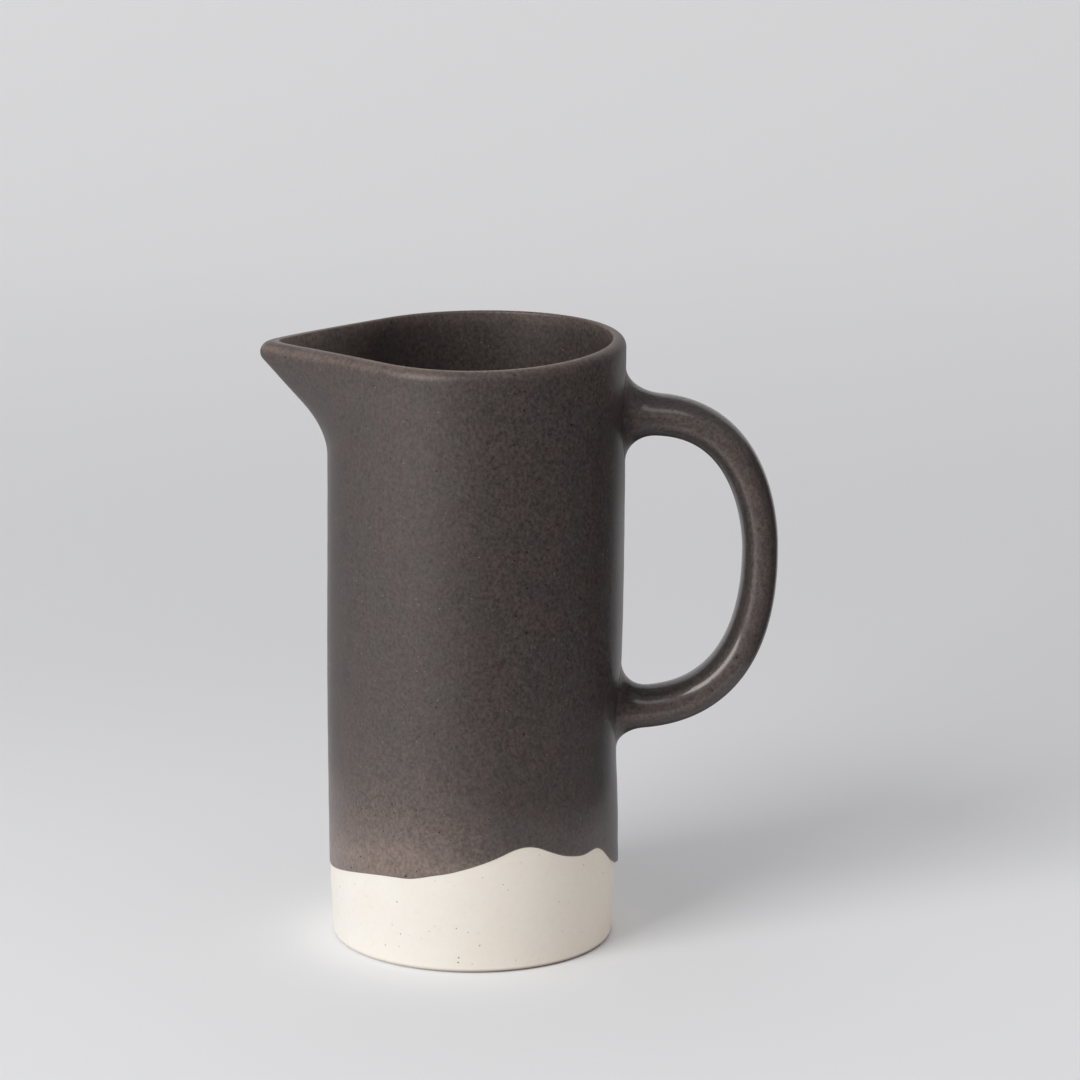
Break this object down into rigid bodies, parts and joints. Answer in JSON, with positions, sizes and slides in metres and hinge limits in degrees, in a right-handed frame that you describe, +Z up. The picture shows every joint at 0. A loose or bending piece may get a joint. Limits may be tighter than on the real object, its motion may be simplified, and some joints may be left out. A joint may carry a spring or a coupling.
{
  "type": "stoneware jug",
  "caption": "Tall straight-sided stoneware jug with a beak spout, a loop handle opposite it and a dark glaze that ends in a wavy line above the bare clay foot, for pouring drinks.",
  "frame": {"origin": "centre of the foot, on the table", "axes": "+Z up along the body's axis, -X towards the spout, +X towards the handle"},
  "size_m": [0.1681, 0.0966, 0.2],
  "materials": {
    "clay": "matt, unglazed, sparsely specked",
    "glaze": "satin, mottled and specked"
  },
  "bodies": {
    "root": {"body": "clay", "spout": "clay", "handle": "clay", "upper_handle_joint": "clay", "lower_handle_joint": "clay", "wall_glaze": "glaze", "spout_glaze": "glaze", "handle_glaze": "glaze", "liner_glaze": "glaze"}
  },
  "joints": []
}
